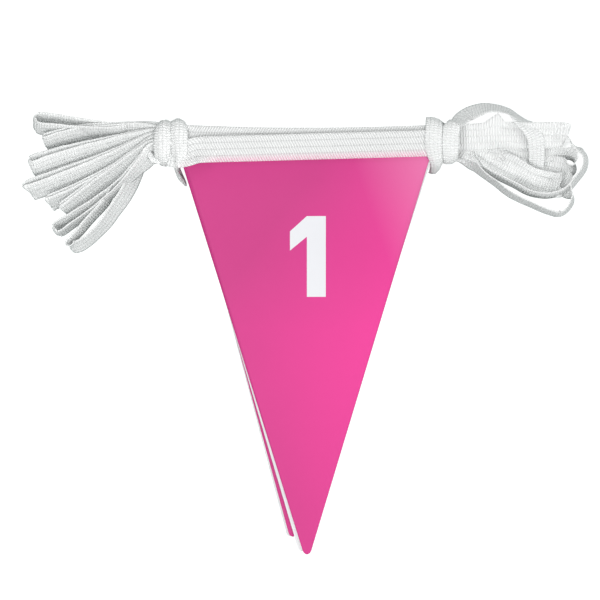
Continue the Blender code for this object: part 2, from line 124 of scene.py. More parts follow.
# The right loops, a bracket for each place where the tape bends: mm, mm, mm, then the bearing of the tape's
# width and how far that edge is raised, in degrees. They run from the upper pennant's side round to the
# lower one's.
RIGHT_LOOPS = [
    [
        (138, 153.4, 19.8, 92, 0), (150, 154.2, 20.8, 92, -2), (161, 154.4, 21.2, 90, 0),
        (171, 154.2, 21.0, 90, 4), (182, 154.2, 21.0, 90, 8), (200, 154.6, 20.5, 94, 12),
        (206.5, 154.4, 19.4, 102, 18), (209.6, 153.6, 17.8, 112, 26), (203, 154.4, 15.4, 98, 14),
        (178, 154.2, 16.4, 90, 6), (148, 152, 17.6, 90, 2),
    ],
    [
        (142, 147.6, 16.4, 94, 0), (158, 144.4, 16.0, 97, 2), (172, 142.0, 15.2, 92, 4),
        (186, 142.6, 14.4, 86, 8), (199, 143.6, 13.4, 82, 14), (211, 140.5, 12.4, 60, 46),
        (216, 133.5, 11.4, 30, 84), (211.5, 127.5, 10.4, 118, 46), (200, 128.5, 9.8, 108, 14),
        (186, 132.5, 9.6, 106, 4), (168, 141, 10.8, 104, 0), (146, 147, 13.6, 96, 0),
    ],
    [
        (140, 141.6, 14.8, 98, -14), (154, 134.4, 15.2, 112, 2), (168, 127.0, 15.0, 116, 18),
        (182, 119.6, 14.6, 112, 28), (195, 115.8, 12.4, 102, 32), (204.5, 115.0, 9.0, 96, 36),
        (196, 115.8, 6.8, 102, 22), (183, 119.4, 8.2, 110, 24), (168, 126.2, 8.8, 114, 20),
        (146, 138, 9.0, 100, 8),
    ],
    [
        (129, 140.4, 7.8, 78, 28), (136, 133.2, 9.8, 66, 64), (143.2, 127.6, 11.2, 62, 78),
        (154.4, 121.4, 11.3, 62, 79), (168, 114.6, 11.4, 62, 79), (180, 108.6, 11.4, 70, 79),
        (192, 106.2, 11.4, 90, 79), (204, 108.4, 11.4, 112, 78), (211.6, 113.0, 11.4, 130, 76),
        (218.2, 120.4, 11.2, 142, 76), (223.4, 127.8, 11.2, 158, 76), (225.0, 134.0, 11.2, 180, 76),
        (223.0, 140.4, 11.2, 208, 77), (218.0, 144.6, 10.8, 240, 80), (211.0, 147.6, 9.0, 80, 60),
        (198, 150, 6.0, 84, 20), (165, 149, 4.6, 90, 0), (140, 147, 6.4, 90, 0),
    ],
    [
        (129, 139.0, 6.6, 76, 34), (135.6, 130.6, 9.8, 60, 70), (143.2, 123.0, 11.2, 56, 79),
        (155, 114.2, 11.3, 58, 79), (166, 106.2, 11.3, 60, 79), (181, 99.0, 11.4, 70, 80),
        (196.5, 92.8, 11.4, 76, 80), (204, 90.8, 11.4, 100, 80), (210.5, 95.6, 11.4, 150, 80),
        (214.5, 103.0, 11.4, 175, 80), (213.0, 109.5, 10.6, 40, 82), (206, 118, 3.6, 40, 20),
        (186, 130, 1.8, 66, 0), (160, 140, 1.8, 78, 0), (138, 146, 4.4, 90, 0),
    ],
]

# The far edge of the top loop at the right is drawn out in a point: its place along X, the height over
# which the loop's upper leg lies, how far out it is drawn, and how far the point's two feet are from it, in
# mm
EdgePoint = namedtuple("EdgePoint", "x over out before after")
DRAWN_POINT = EdgePoint(154.4, 19.2, 7.4, 11.0, 5.4)

# The tape's end at the right: from the neck out under the upper loops, up at their far end and back over
# them as a band, then round beside them on its edge to the neck. The sixth number is what the tape is
# gathered to, in mm.
RIGHT_TAIL = [
    (126.5, 143.0, 5.4, 84, 2, 20), (140.0, 138.0, 5.4, 70, 0, 17), (154.0, 131.4, 5.2, 64, 0, 14),
    (167.0, 125.4, 5.2, 68, 0, 13), (176.6, 123.0, 5.8, 96, 0, 13), (182.0, 125.4, 8.4, 138, 4, 13),
    (184.4, 130.4, 13.2, 166, 8, 13), (185.0, 137.4, 18.6, 176, 10, 13),
    (184.8, 145.4, 22.4, 180, 14, 13.5), (184.0, 151.6, 23.8, 188, 16, 14),
    (181.4, 157.2, 23.6, 202, 24, 14), (177.6, 161.8, 21.2, 216, 46, 16),
    (173.2, 165.8, 16.4, 228, 66, 19), (168.2, 170.2, 12.2, 236, 76, 21),
    (162.6, 173.8, 11.2, 250, 74, 21), (156.4, 175.7, 11.0, 263, 72, 21),
    (148.0, 176.6, 10.8, 270, 69, 21), (140.4, 175.2, 10.4, 281, 62, 21),
    (132.6, 172.4, 10.4, 289, 58, 21), (126.6, 169.0, 12.0, 300, 57, 20),
    (122.6, 164.6, 16.4, 322, 54, 17),
]

# The fan's last loop, made by the left end of the tape: from under the neck out, round and back to the
# neck's side
LEFT_END_LOOP = [
    (-120.6, 139.6, 6.4, 140, 56), (-127.4, 137.4, 9.4, 124, 66), (-132.4, 132.0, 9.8, 140, 64),
    (-135.2, 125.0, 9.8, 166, 59), (-138.4, 116.8, 9.8, 160, 59), (-145.1, 105.0, 9.8, 148, 59),
    (-151.8, 95.2, 9.8, 143, 61), (-157.4, 87.0, 9.8, 140, 63), (-164.8, 78.4, 9.8, 136, 66),
    (-173.4, 70.4, 9.8, 130, 66), (-181.4, 65.6, 9.8, 124, 63), (-186.6, 65.0, 10.0, 124, 63),
    (-188.8, 67.4, 10.2, 126, 67), (-187.0, 70.6, 10.8, 130, 74), (-183.6, 74.2, 10.8, 132, 74),
    (-178.8, 79.4, 10.9, 136, 73), (-172.4, 86.8, 10.8, 140, 73), (-164.8, 94.8, 10.8, 140, 73),
    (-158.4, 102.8, 10.8, 144, 74), (-153.6, 110.6, 10.9, 146, 77), (-146.4, 118.8, 11.2, 136, 79),
    (-137.4, 127.6, 12.0, 126, 79), (-126.5, 134.6, 13.4, 112, 78), (-116.0, 138.6, 16.5, 96, 66),
]

# The two turns of each binding, a bracket for each side of the neck that it passes: degrees, 0 at the far
# side, 90 on top, 180 at the pennants' side and 270 under the neck; then its place along the tape, how far
# out it runs and what it is gathered to, in mm, and the bearing of its width, in degrees. A free end follows
# from the last turn's top, in brackets like those of the right end.
LEFT_TURNS = [
    (-100, -114.0, 14.0, 13.0, 180), (0, -113.4, 15.3, 13.4, 199), (90, -113.6, 14.6, 13.8, 180),
    (180, -113.4, 17.4, 12.8, 160), (270, -111.0, 12.4, 12.0, 180), (360, -100.6, 16.7, 12.8, 168),
    (450, -100.2, 14.8, 13.8, 180),
]
LEFT_FREE_END = [
    (-100.0, 142.0, 29.9, 180, 0, 13.2), (-100.2, 137.4, 29.8, 180, 0, 11.8),
    (-101.2, 133.8, 29.2, 180, 0, 7.4), (-102.2, 131.8, 27.6, 182, 0, 4.4),
    (-102.2, 129.4, 22.5, 186, 0, 4.0), (-101.6, 126.8, 16.0, 194, 0, 4.2),
    (-100.4, 123.0, 9.0, 202, 0, 4.2), (-98.0, 118.4, 4.0, 210, 0, 4.2),
    (-96.2, 116.0, 1.8, 212, 0, 3.2),
]
RIGHT_TURNS = [
    (20, 117.4, 15.6, 14.0, 0), (90, 115.6, 14.2, 13.6, 0), (180, 115.4, 16.6, 12.6, 6),
    (270, 111.5, 12.4, 12.0, 0), (360, 103.6, 18.4, 13.4, -17), (450, 102.2, 14.8, 13.6, -2),
]
RIGHT_FREE_END = [
    (102.8, 142.0, 29.6, 0, 0, 12.6), (103.8, 136.4, 29.2, 2, 0, 11.4),
    (105.0, 132.2, 26.2, 6, 0, 10.2), (105.0, 129.2, 20.5, 12, 0, 9.6),
    (104.4, 126.8, 13.0, 20, 0, 9.2), (103.8, 125.2, 6.0, 24, 0, 9.0),
]
BINDING_Z = 0.0147

# How finely the route is worked out: stations in a fan loop's leg, and angles in its turn; degrees from one
# of a binding's to the next; steps from the heading to a neck; and points to a span of the loops' curves
FAN_STATIONS = 10
FAN_TURN = [60, 30, 0, -30, -60]
BINDING_STEP = 18
EASE_STEPS = 4
END_LOOP_POINTS = 3
RIGHT_LOOP_POINTS = 4

# Shares of a fan loop's leg by which it is fully tilted, opened and sunk, and from which the far one leans
TILTED_BY, OPENED_BY, SUNK_BY, LEANS_FROM = 0.45, 0.95, 0.85, 0.25

# The power that rounds a binding's section: 1 would be a circle, and less is squarer
BINDING_ROUNDING = 0.7

# Where the tape is gathered to less than its width, its middle stands out and its edges are drawn in, by
# these shares of the width that it lost: the left binding is pulled into rolls, the right one and the band
# lie flat. It is pleated there too, by a share of how far its middle stands out.
GATHER_CROWN = {"left binding": 0.46, "right binding": 0.20, "loop": 0.10, "pennant": 0.10}
GATHER_TIGHT = {"left binding": 0.28, "right binding": 0.12, "loop": 0.06, "pennant": 0.06}
PLEATS = 3
PLEAT_DEPTH = 0.1

# Off the pennants the tape's middle stands out a little. That and its level change slowly along it, and the
# pleats wander: how high each wave is, in metres or for the pleats in radians, how long, and its phase
CROWN = 0.00025
Wave = namedtuple("Wave", "height length phase")
CROWN_WAVE = Wave(0.00035, 0.083, 0.4)
LEVEL_WAVE = Wave(0.00022, 0.031, 1.3)
PLEAT_WAVE = Wave(5.0, 0.05, 0.2)
WAVE_SINES = [(0.55, 1.0, 1.0), (0.30, 1.73, 2.1), (0.15, 2.9, 4.7)]

# At a sharp turn the tape's two edges lag behind its middle, in full from so many radians a metre
EDGE_LAG = 0.0022
SHARP_TURN = 320

# Over what length at the heading's ends the tape takes on the looks of a loop; how soft the sewn edge's
# inner side is, as a share of the overlap; and how far the tape keeps off the surface
HEADING_FADE = 0.012
SEAM_BLUR = 0.25
CLEARANCE = 0.0001

# The front tape's lower edge stands off its pennant at the left end: from where, over what length, how far
LIFT_START = 0.068
LIFT_LENGTH = 0.018
LIFT_HEIGHT = 0.0045

# The powers by which the edges' lag, the drawn-out point and the lift grow from the tape's middle to its edge
LAG_POWER = 4
POINT_POWER = 1.4
LIFT_POWER = 1.5

# Keeps a straight stretch's bend from being divided by nothing
TINY = 1e-6

# Soft dents and creases in the loops' upper legs at the right: the middle, half the length and width, the
# bearing, in degrees, and the depth, in mm; and the heights from which they show
Dent = namedtuple("Dent", "x y long wide bearing depth")
BUNDLE_DENTS = [
    Dent(199.0, 155.6, 8.0, 4.5, -15, 6.0),
    Dent(153.6, 143.8, 11.0, 2.6, -15, 6.5),
    Dent(158.8, 136.0, 13.0, 3.0, -24, 4.5),
    Dent(144.0, 134.0, 14.0, 3.0, -29, 4.5),
    Dent(161.0, 160.4, 9.0, 3.0, -10, 4.0),
    Dent(192.5, 122.4, 14.0, 3.4, -18, 6.0),
]
DENTS_FROM, DENTS_OVER = 0.009, 0.006

# A pennant's grid is closer towards its tip, by a power. The blunt tip is rounded down to a share of its
# width. Each of the stack's low waves has a share, radians a metre along X and Y, and a phase. They come in
# over the first part of the pennant.
ROW_POWER = 1.25
TIP_END = 0.15
STACK_WAVES = [(0.5, 26, 9, 0.8), (0.35, 47, -14, 2.0), (0.5, 8, 13, 0.0)]
STACK_WAVE_HEIGHT = 0.0009
WAVES_COME_IN = 1 / 6

# The tape's looks: light sinks into it, a faint painted glow in its own colour lifts the shade in its folds,
# and it is woven in bands of slanted ribs. Of two values the first holds everywhere and the second is added
# over a pennant.
TAPE_ROUGHNESS, TAPE_GLOSS = 0.85, 0.15
LIGHT_SINKS_IN, LIGHT_DEPTH = 0.30, 0.0012
PAINTED_GLOW = 0.05
BANDS = 4
RIB_SLANT = (0.25, -1.45)
RIB_CONTRAST = (0.32, 0.36)
GROOVE_CONTRAST = (0.04, 0.22)
GROOVE_POWER, GROOVE_DEPTH = 6, 0.6
RIB_HEIGHT = 0.0005
TAPE_DARK = 0.60

# The pennant's colour in the tape's sewn edge: how pink it is, and how far it shows between and on the ribs
SEAM_PINK = 0.55
SEAM_BETWEEN_RIBS, SEAM_ON_RIBS = 0.60, 0.30

# The cloth's looks: gloss, weave and threads, whose colour also paints the sheen. Blotches have a fineness
# and a contrast, and share a detail.
CLOTH_ROUGHNESS, CLOTH_GLOSS = 0.50, 0.25
BACK_ROUGHNESS, BACK_GLOSS = 0.6, 0.3
WEAVE_PITCH, WEAVE_HEIGHT, WEAVE_STRENGTH = 0.0011, 0.00004, 0.5
THREAD_AND_SHEEN_COLOUR = (0.95, 0.55, 0.75)
THREAD_CONTRAST, THREAD_SHARE = 0.020, 0.022
BACK_WEAVE_CONTRAST, BACK_DARK = 0.05, 0.86
TAPE_BLOTCHES = (60.0, 0.12)
CLOTH_BLOTCHES = (9.0, 0.4)
BACK_BLOTCHES = (12.0, 0.3)
BLOTCH_DETAIL = 2.0

# Painted shade and sheen on the pink: how lit it is at the middle, and what each metre adds to the right,
# above and below; the shares of red, green and blue that stay in the shaded pink where it is deepest; and a
# painted sheen, the paler corner at the right beyond a slanted line, and how fast it grows
LIT_AT_MIDDLE, LIT_RIGHT, LIT_ABOVE, LIT_BELOW = 0.62, 7.0, -5.5, 2.0
SHADED_PINK_SHARES = (0.69, 0.90, 0.72)
SHEEN_FROM, SHEEN_SLOPE, SHEEN_GROWTH = 0.085, -0.35, 4.0

# The photograph's frame: its width, a pixel's size on the surface and the pixel at the origin; then the
# camera's height over the bunting's middle height, and its sensor's width in mm
# ------------------------------------------------------------------------------------------------------
PHOTO_WIDTH = 600
METRES_PER_PIXEL = 0.0008
ORIGIN_PIXEL = (305.0, 328.5)
CAMERA_HEIGHT = 4.0
BUNTING_HEIGHT = 0.012
SENSOR = 36.0

# The studio: the floor's half width, the light from all round, and square lights, each with its place, side
# and power, in watts, and the place that it points at
FLOOR_HALF = 4.0
FLOOR_ROUGHNESS, FLOOR_GLOSS = 0.9, 0.1
ROUND_LIGHT = 0.40
FAN_MIDDLE = (-0.165, 0.120, 0.0)
BUNDLE_MIDDLE = (0.170, 0.140, 0.0)
Softbox = namedtuple("Softbox", "name place size power target")
SOFTBOXES = [
    Softbox("key", (0.46, 0.10, 2.0), 0.7, 8.6, (0.0, 0.0, 0.0)),
    Softbox("side", (1.00, -0.35, 0.55), 0.5, 4.0, BUNDLE_MIDDLE),
    Softbox("fill", (-0.34, -0.16, 0.70), 0.35, 2.9, FAN_MIDDLE),
    Softbox("back", (0.30, 1.00, 0.40), 0.5, 2.8, BUNDLE_MIDDLE),
]

# The printed numeral one, by its corners in the photograph's pixels: its stem's sides, top and foot, the
# flag's tip, and the heights of the flag's two edges at its tip and at the stem. In metres, the print's edge
# is a little soft, and the flag runs a little into the stem.
STEM_LEFT, STEM_RIGHT, STEM_TOP, STEM_FOOT = 306.8, 325.8, 216.3, 296.9
FLAG_TIP = 289.9
FLAG_TOP_AT_TIP, FLAG_TOP_AT_STEM = 231.6, 216.3
FLAG_FOOT_AT_TIP, FLAG_FOOT_AT_STEM = 250.8, 236.9
PRINT_EDGE, FLAG_OVERLAP = 0.00012, 0.0004


def pixel_x(px):
    return (px - ORIGIN_PIXEL[0]) * METRES_PER_PIXEL


def pixel_y(py):
    return (ORIGIN_PIXEL[1] - py) * METRES_PER_PIXEL


# Settings that a user would change, in metres and colours
# --------------------------------------------------------
def length_setting(name, description, default):
    return bpy.props.FloatProperty(name=name, description=description, default=default, unit="LENGTH")


def colour_setting(name, description, default):
    return bpy.props.FloatVectorProperty(
        name=name, description=description, default=default, size=3, subtype="COLOR"
    )


class BuntingSizes(bpy.types.PropertyGroup):
    cloth_thickness: length_setting("Cloth thickness", "Thickness of a pennant's coated cloth", 0.0005)
    tape_thickness: length_setting("Tape thickness", "Thickness of the woven tape", 0.0007)
    rib_pitch: length_setting("Rib pitch", "Distance along the tape from one rib to the next", 0.00215)
    seam_overlap: length_setting("Seam overlap", "How far the tape lies over a pennant sewn to it", 0.0052)


class BuntingColours(bpy.types.PropertyGroup):
    cloth: colour_setting("Cloth", "Printed front of the pennants", (0.80, 0.034, 0.295))
    cloth_back: colour_setting("Cloth back", "Unprinted back of the pennants", (0.84, 0.85, 0.86))
    numeral: colour_setting("Numeral", "The numeral on the front pennant", (0.76, 0.77, 0.80))
    tape: colour_setting("Tape", "The woven tape", (0.92, 0.935, 0.93))
    floor: colour_setting("Floor", "The plain surface under the bunting", (0.16, 0.21, 0.20))


# Curves
# ------
def smooth(t):
    """A soft step from 0 to 1: three t squared less two t cubed, with t held between 0 and 1."""
    t = np.clip(t, 0.0, 1.0)
    return t * t * (3.0 - 2.0 * t)


def wobble(s, wave):
    """A slow irregular wave along s, about as high as the wave says: three sines of unlike lengths, added."""
    turns = 2 * np.pi * np.asarray(s) / wave.length
    sines = (share * np.sin(rate * turns + lag * wave.phase) for share, rate, lag in WAVE_SINES)
    return wave.height * sum(sines)


def spline(rows, per_span):
    """A Catmull-Rom curve through the rows, with so many points a span. The last row is left to the next."""
    rows = np.asarray(rows, float)
    rows = np.vstack([2 * rows[0] - rows[1], rows, 2 * rows[-1] - rows[-2]])
    t = (np.arange(per_span) / per_span)[None, :, None]
    a, b, c, d = (rows[k : len(rows) - 3 + k, None, :] for k in range(4))
    curve = 0.5 * (
        2 * b
        + (c - a) * t
        + (2 * a - 5 * b + 4 * c - d) * t**2
        + (3 * b - a - 3 * c + d) * t**3
    )
    return curve.reshape(-1, rows.shape[1])


def refine(rows, step, angle):
    """A finer curve through the rows, with more points where a span is long or where the route turns.

    It is a cubic Hermite curve over the distance along the route. A row's slope is the mean of the slopes of
    the spans before and after it, each weighted by the other's length.
    """
    span = np.diff(rows, axis=0)
    length = np.linalg.norm(span[:, :3], axis=1)
    slope = span / length[:, None]
    before, after = length[:-1, None], length[1:, None]
    inner = (slope[:-1] * after + slope[1:] * before) / (after + before)
    slopes = np.vstack([slope[:1], inner, slope[-1:]])
    unit = slopes[:, :3] / np.linalg.norm(slopes[:, :3], axis=1, keepdims=True)
    turn = np.degrees(np.arccos(np.clip(np.sum(unit[:-1] * unit[1:], axis=1), -1, 1)))
    pieces = np.maximum(np.ceil(length / step), np.ceil(turn / angle)).astype(int)
    pieces = np.maximum(pieces, 1)
    which = np.repeat(np.arange(len(pieces)), pieces)
    first = np.repeat(np.cumsum(pieces) - pieces, pieces)
    t = ((np.arange(len(which)) - first) / pieces[which])[:, None]
    h = length[which, None]
    start, end = rows[which], rows[which + 1]
    curve = (
        (2 * t**3 - 3 * t**2 + 1) * start
        + (t**3 - 2 * t**2 + t) * h * slopes[which]
        + (3 * t**2 - 2 * t**3) * end
        + (t**3 - t**2) * h * slopes[which + 1]
    )
    return np.vstack([curve, rows[-1:]])


def distance_along(places):
    return np.append(0, np.cumsum(np.linalg.norm(np.diff(places, axis=0), axis=1)))


# The tape's route
# ----------------
def level(layer):
    """Middle height of a layer of the stack, counted from the surface up."""
    return SHEET / 2 + layer * LAYER


def heading_layers(number):
    """The layers that pennant and tape take in the heading. A turned-over pennant lies on its tape."""
    below = 2 * (PENNANTS - number)
    return (below, below + 1) if number % 2 else (below + 1, below)


def neck_place(neck, slot):
    """Middle of one of a neck's layers, counted from the lowest up."""
    y = NECK_Y + neck.shift * MM * (slot - (neck.layers - 1) / 2)
    return neck.x * MM, y, (neck.floor + neck.rise * slot) * MM


def neck_tilt(neck, slot):
    """Tilt of one of a neck's layers, in degrees."""
    return neck.low_tilt + (neck.high_tilt - neck.low_tilt) * slot / (neck.layers - 1)


def station(x, y, z, spin, tilt, gathered=None):
    """One bend of the tape as place, width direction and width, from mm and degrees."""
    spin, tilt = math.radians(spin), math.radians(tilt)
    across = (math.cos(tilt) * math.cos(spin), math.cos(tilt) * math.sin(spin), math.sin(tilt))
    width = TAPE_WIDTH if gathered is None else gathered * MM
    return [x * MM, y * MM, z * MM, *across, width]


def neck_station(neck, slot):
    tilt = math.radians(neck_tilt(neck, slot))
    return [*neck_place(neck, slot), 0, math.cos(tilt), math.sin(tilt), TAPE_WIDTH]


def heading_station(number, x):
    row = PENNANT_ROWS[number - 1]
    turn = math.radians(row.tape_turn)
    y = HEADING_Y + (row.tape_up + row.tape_bow * (x / HEADING_END) ** 2) * MM + x * math.tan(turn)
    if number == 1:
        y -= FRONT_DIP * smooth((-x - DIP_START) / DIP_LENGTH)
    return [x, y, level(heading_layers(number)[1]), -math.sin(turn), math.cos(turn), 0, TAPE_WIDTH]


def ease(start, end, steps):
    """Rows strictly between two rows: even along X, and easing in and out of all the rest."""
    t = np.arange(1, steps)[:, None] / steps
    start, end = np.array(start, float), np.array(end, float)
    rows = start + (end - start) * smooth(t)
    rows[:, 0] = start[0] + (end[0] - start[0]) * t[:, 0]
    return rows


def heading_run(number, left_slot, right_slot):
    """A tape's run over its pennant, from neck to neck, left to right."""
    left, right = heading_station(number, -HEADING_END), heading_station(number, HEADING_END)
    middle = [heading_station(number, x) for x in np.linspace(-HEADING_END, HEADING_END, HEADING_STEPS)]
    into_left = ease(neck_station(LEFT_NECK, left_slot), left, EASE_STEPS)
    into_right = ease(right, neck_station(RIGHT_NECK, right_slot), EASE_STEPS)
    return np.vstack([into_left, middle, into_right])


def parabola(first, middle, last, t):
    """A parabola through three places, the middle one at its share of the straight distances."""
    before, after = np.linalg.norm(middle - first), np.linalg.norm(last - middle)
    m = before / (before + after)
    t = t[:, None]
    return (
        first * (t - m) * (t - 1) / m
        + middle * t * (t - 1) / (m * (m - 1))
        + last * t * (t - m) / (1 - m)
    )


def fan_loop(loop, low_slot):
    """One loop of the left fan: both legs from the neck out, and the turn at its end, upper leg first.

    Its spine is a parabola from the neck through the loop's middle to its tip. Outwards the two legs open,
    tilt to one side and sink until the lower edge rests on the surface. The far leg leans further, about its
    lower edge. The turn is half a circle between the legs.
    """
    end_radius = loop.opening * MM / 2
    r = np.linspace(0, 1, FAN_STATIONS)
    start = (np.array(neck_place(LEFT_NECK, low_slot)) + neck_place(LEFT_NECK, low_slot + 1)) / 2
    middle, tip = np.array([loop.mid_x, loop.mid_y]) * MM, np.array([loop.tip_x, loop.tip_y]) * MM
    spine = parabola(start[:2], middle, tip, r)
    along = np.gradient(spine, axis=0)
    along = along / np.linalg.norm(along, axis=1, keepdims=True)
    start_tilt = neck_tilt(LEFT_NECK, low_slot + 0.5)
    tilt = np.radians(start_tilt + (loop.tilt - start_tilt) * smooth(r / TILTED_BY))
    opening = NECK_PITCH + (2 * end_radius - NECK_PITCH) * smooth(r / OPENED_BY)
    resting = GAP + SHEET / 2 + TAPE_WIDTH / 2 * np.sin(tilt[-1]) + end_radius * np.cos(tilt[-1])
    z = start[2] + (resting - start[2]) * smooth(r / SUNK_BY)
    spine = np.column_stack([spine, z])
    along = np.column_stack([along, 0 * r])
    level_across = np.stack([along[:, 1], -along[:, 0], 0 * r], 1)
    up = np.array([[0.0, 0.0, 1.0]])

    def width_way(tilt):
        return level_across * np.cos(tilt)[:, None] + up * np.sin(tilt)[:, None]

    across = width_way(tilt)
    lean = math.radians(loop.lean) * smooth((r - LEANS_FROM) / (1 - LEANS_FROM))
    leaning = width_way(tilt - lean)
    normal = up * np.cos(tilt)[:, None] - level_across * np.sin(tilt)[:, None]
    half = opening[:, None] / 2
    width = np.full((len(r), 1), TAPE_WIDTH)
    near = np.hstack([spine + normal * half, across, width])
    far = np.hstack([spine - normal * half + (leaning - across) * TAPE_WIDTH / 2, leaning, width])

    # the turn, in which the lean comes in evenly and the upper edge reaches further out by the skew
    turn = np.radians(FAN_TURN)[:, None]
    share = (1 - np.sin(turn)) / 2
    way = across[-1] + (leaning[-1] - across[-1]) * share + along[-1] * loop.skew * np.cos(turn)
    place = spine[-1] + end_radius * (along[-1] * np.cos(turn) + normal[-1] * np.sin(turn))
    place = place + (way - across[-1]) * TAPE_WIDTH / 2
    end = np.hstack([place, way, width[: len(FAN_TURN)]])
    return np.vstack([near, end, far[::-1]])


def binding(turns):
    """A tape wound round a neck, as rows of place, width direction and width.

    Its section is a rounded box: the two coordinates are the sine and cosine of the angle, each raised to a
    power under one, times how far out the tape runs there.
    """
    angles, places, outs, widths, spins = np.array(turns, float).T
    angle = np.linspace(angles[0], angles[-1], 1 + round((angles[-1] - angles[0]) / BINDING_STEP))
    x, out, width = (np.interp(angle, angles, column) * MM for column in (places, outs, widths))
    spin = np.radians(np.interp(angle, angles, spins))
    a = np.radians(angle)
    far, up = (np.sign(part) * np.abs(part) ** BINDING_ROUNDING for part in (np.cos(a), np.sin(a)))
    y = NECK_Y + out * far
    z = BINDING_Z + out * up
    return np.stack([x, y, z, np.cos(spin), np.sin(spin), 0 * spin, width], 1)


def free_end(rows):
    return np.array([station(*row) for row in rows])


def drawn_out(place):
    """How far the top loop's far edge is drawn out of line: evenly up to the point and down again."""
    from_point = place[:, 0] / MM - DRAWN_POINT.x
    foot = np.where(from_point < 0, DRAWN_POINT.before, DRAWN_POINT.after)
    share = 1 - np.abs(from_point) / foot
    on_top = place[:, 2] / MM > DRAWN_POINT.over
    return np.clip(share, 0, 1) * on_top * DRAWN_POINT.out * MM


def dents(points):
    """How far each point is pushed down: the sum of the dents, each depth * exp(-(a/long)^2 - (b/wide)^2).

    a and b are the distances from the dent's middle along and across its bearing.
    """
    x, y = points[..., 0] / MM, points[..., 1] / MM
    depth = np.zeros_like(x)
    for dent in BUNDLE_DENTS:
        bearing = math.radians(dent.bearing)
        a = (x - dent.x) * math.cos(bearing) + (y - dent.y) * math.sin(bearing)
        b = (y - dent.y) * math.cos(bearing) - (x - dent.x) * math.sin(bearing)
        depth += dent.depth * MM * np.exp(-((a / dent.long) ** 2) - (b / dent.wide) ** 2)
    return depth * smooth((points[..., 2] - DENTS_FROM) / DENTS_OVER)


def tape_sections():
    """The whole tape from its left free end to its right one, as (kind, rows): see GATHER_CROWN's kinds."""
    loops = [fan_loop(loop, 2 * k) for k, loop in enumerate(LEFT_LOOPS)]
    sections = []

    # the left free end: wound twice round the neck, then out and back as the fan's last loop
    turns = np.vstack([binding(LEFT_TURNS), free_end(LEFT_FREE_END)])[::-1]
    top_slot = 2 * len(LEFT_LOOPS) - 1
    folds = [station(*row) for row in LEFT_END_LOOP]
    last_loop = [turns[-1]] + folds + [neck_station(LEFT_NECK, top_slot)]
    sections += [("left binding", turns[:-1]), ("loop", spline(last_loop, END_LOOP_POINTS))]

    # the other loops of the left end, each folded back on itself inside the neck
    for k in range(len(LEFT_LOOPS) - 1, LEFT_GAP_LOOPS - 1, -1):
        sections.append(("loop", loops[k]))
        if k > LEFT_GAP_LOOPS:
            upper, lower = neck_station(LEFT_NECK, 2 * k), neck_station(LEFT_NECK, 2 * k - 1)
            inner_fold = (np.array(upper) + np.array(lower)) / 2
            inner_fold[0] += 2 * NECK_PITCH
            sections.append(("loop", inner_fold[None, :]))

    # run after run over the pennants, with a gap's loop at the right and at the left in turn
    for number in range(1, PENNANTS + 1):
        left_slot = 2 * LEFT_GAP_LOOPS - number + 1
        right_slot = PENNANTS - number
        run = heading_run(number, left_slot, right_slot)
        sections.append(("pennant", run if number % 2 else run[::-1]))
        if number == PENNANTS:
            break
        if number % 2:
            folds = [station(*row) for row in RIGHT_LOOPS[number // 2]]
            start, end = neck_station(RIGHT_NECK, right_slot), neck_station(RIGHT_NECK, right_slot - 1)
            curve = spline([start] + folds + [end], RIGHT_LOOP_POINTS)
            sections.append(("loop", np.vstack([curve, [end]])))
        else:
            sections.append(("loop", loops[LEFT_GAP_LOOPS - number // 2]))

    # the right free end: out under the upper loops, back over them as a band, and wound twice round the neck
    turns = np.vstack([binding(RIGHT_TURNS), free_end(RIGHT_FREE_END)])
    tail = [neck_station(RIGHT_NECK, 0)] + [station(*row) for row in RIGHT_TAIL] + [turns[0]]
    sections += [("loop", spline(tail, RIGHT_LOOP_POINTS)), ("right binding", turns)]
    return sections


def unit_rows(vectors):
    return vectors / np.linalg.norm(vectors, axis=1, keepdims=True)


# Meshes
# ------
def add_object(name, data):
    added = bpy.data.objects.new(name, data)
    bpy.context.scene.collection.objects.link(added)
    return added


def grid_object(name, points, uv, masks, materials, thickness):
    """A thin sheet: one vertex for each point of the grid, four-sided faces between them, then a thickness.

    points is (rows, columns, 3) and uv (rows, columns, 2), in metres of cloth. Each mask is a value a point.
    """
    rows, columns = points.shape[:2]
    index = np.arange(rows * columns).reshape(rows, columns)
    corners = np.stack([index[:-1, :-1], index[:-1, 1:], index[1:, 1:], index[1:, :-1]], -1)
    corners = corners.reshape(-1, 4)
    mesh = bpy.data.meshes.new(name)
    mesh.vertices.add(rows * columns)
    mesh.vertices.foreach_set("co", points.reshape(-1))
    mesh.loops.add(corners.size)
    mesh.loops.foreach_set("vertex_index", corners.reshape(-1))
    mesh.polygons.add(len(corners))
    mesh.polygons.foreach_set("loop_start", np.arange(0, corners.size, 4))
    mesh.polygons.foreach_set("use_smooth", np.ones(len(corners), bool))
    mesh.update(calc_edges=True)
    layer = mesh.uv_layers.new(name="cloth")
    layer.data.foreach_set("uv", uv.reshape(-1, 2)[corners.reshape(-1)].reshape(-1))
    for mask, values in masks.items():
        attribute = mesh.attributes.new(mask, "FLOAT", "POINT")
        attribute.data.foreach_set("value", np.ascontiguousarray(values, float).reshape(-1))
    for material in materials:
        mesh.materials.append(material)
    sheet = add_object(name, mesh)
    solid = sheet.modifiers.new("Thickness", "SOLIDIFY")
    solid.thickness = thickness
    solid.offset = 0.0
    solid.material_offset = len(materials) - 1
    return sheet


# Materials
# ---------
def new_material(name, roughness, specular):
    material = bpy.data.materials.new(name)
    material.use_nodes = True
    shader = material.node_tree.nodes["Principled BSDF"]
    shader.inputs["Roughness"].default_value = roughness
    shader.inputs["Specular IOR Level"].default_value = specular
    return material, material.node_tree, shader


def feed(tree, socket, value):
    """Set a socket to a number or a colour, or link another socket to it."""
    if isinstance(value, (int, float)):
        socket.default_value = value
    elif isinstance(value, tuple):
        socket.default_value = (*value, 1.0)
    elif value is not None:
        tree.links.new(value, socket)


